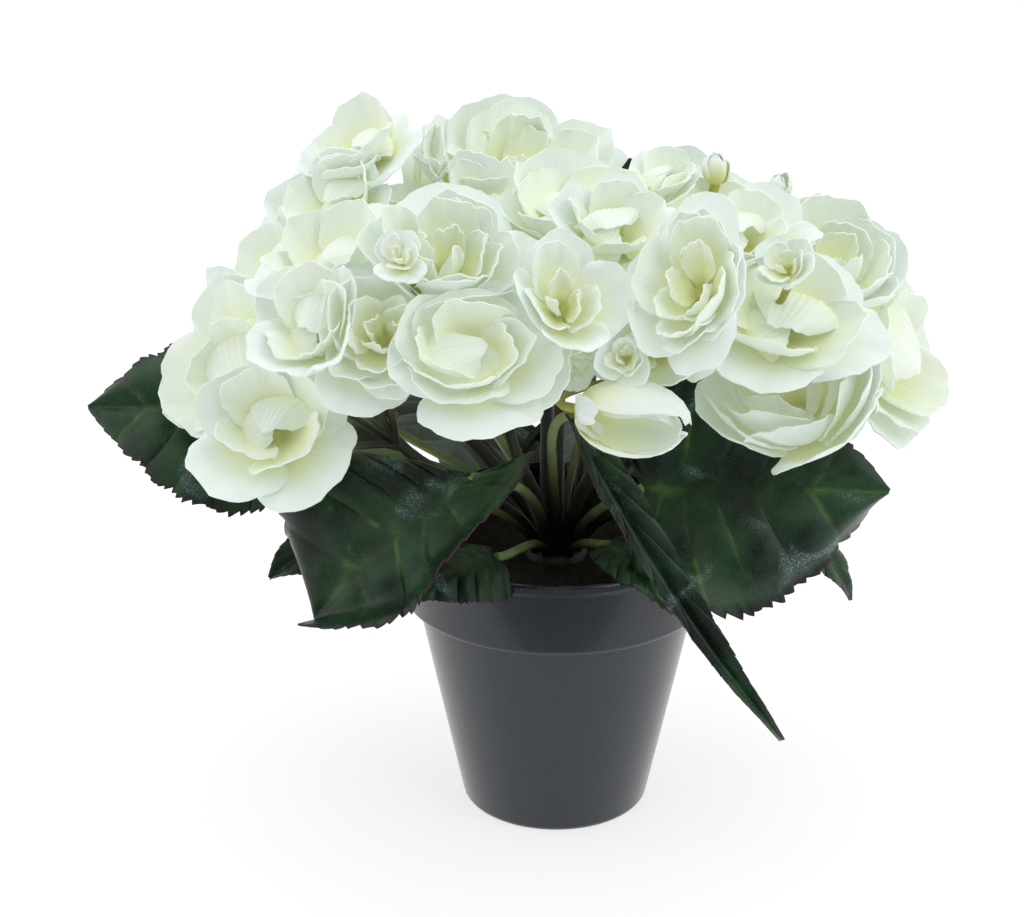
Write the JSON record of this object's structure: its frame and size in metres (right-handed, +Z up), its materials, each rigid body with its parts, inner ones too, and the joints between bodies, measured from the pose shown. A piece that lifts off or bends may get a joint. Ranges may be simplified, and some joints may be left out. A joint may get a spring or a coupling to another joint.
{
  "type": "potted begonia",
  "caption": "White double-flowered begonia with dark toothed leaves and small buds, in a plain tapered round pot with a collar.",
  "frame": {"origin": "centre of the pot's flat bottom", "axes": "+Z up the pot's axis, -Y towards the side that the picture shows, +X to that view's right"},
  "size_m": [0.3112, 0.2501, 0.2735],
  "materials": {
    "pot": "semi-gloss dark grey",
    "soil": "dark crumbly soil",
    "stem": "satin green, browner near the soil",
    "leaf": "satin dark green with a purple-brown margin",
    "petal": "matt white, yellow-green at the root",
    "bud": "matt green-white"
  },
  "bodies": {
    "root": {"pot": "pot", "soil": "soil", "stems": "stem", "bloom_front": "petal", "bloom_upper_front": "petal", "bloom_crown": "petal", "bloom_crown_front": "petal", "bloom_upper_left": "petal", "bloom_upper_left_top": "petal", "bloom_left": "petal", "bloom_left_low": "petal", "bloom_left_middle": "petal", "bloom_left_inner": "petal", "bloom_left_green": "petal", "bloom_left_shoulder": "petal", "bloom_left_small": "petal", "bloom_middle_small": "petal", "bud_middle_low": "bud", "bloom_right_crown": "petal", "bloom_right_cup": "petal", "bloom_right_under": "petal", "bud_right_under": "bud", "bud_right_low": "bud", "bloom_right_low": "petal", "bloom_right_middle": "petal", "bud_right_middle": "bud", "bloom_right_upper": "petal", "bloom_far_right": "petal", "bloom_right_shoulder": "petal", "bloom_right_top": "petal", "bloom_top_right": "petal", "bud_top_right": "bud", "bud_top_far_right": "bud", "bloom_top_left": "petal", "bloom_top_middle": "petal", "bloom_back_right": "petal", "bloom_back_right_low": "petal", "bloom_back": "petal", "bloom_back_left_low": "petal", "bloom_back_left": "petal", "bloom_back_upper_right": "petal", "bloom_back_upper": "petal", "bloom_back_upper_left": "petal", "bloom_back_far_left": "petal", "bloom_top_back_right": "petal", "bloom_top_back_left": "petal", "bloom_back_left_top": "petal", "leaf_far_left": "leaf", "leaf_left_low": "leaf", "leaf_left_back": "leaf", "leaf_rim_left": "leaf", "leaf_twisted": "leaf", "leaf_right_large": "leaf", "leaf_rim_right": "leaf", "leaf_right_back": "leaf", "leaf_crown": "leaf", "leaf_back_right": "leaf", "leaf_back_middle": "leaf", "leaf_back_left": "leaf", "leaf_left_rear": "leaf"}
  },
  "joints": []
}
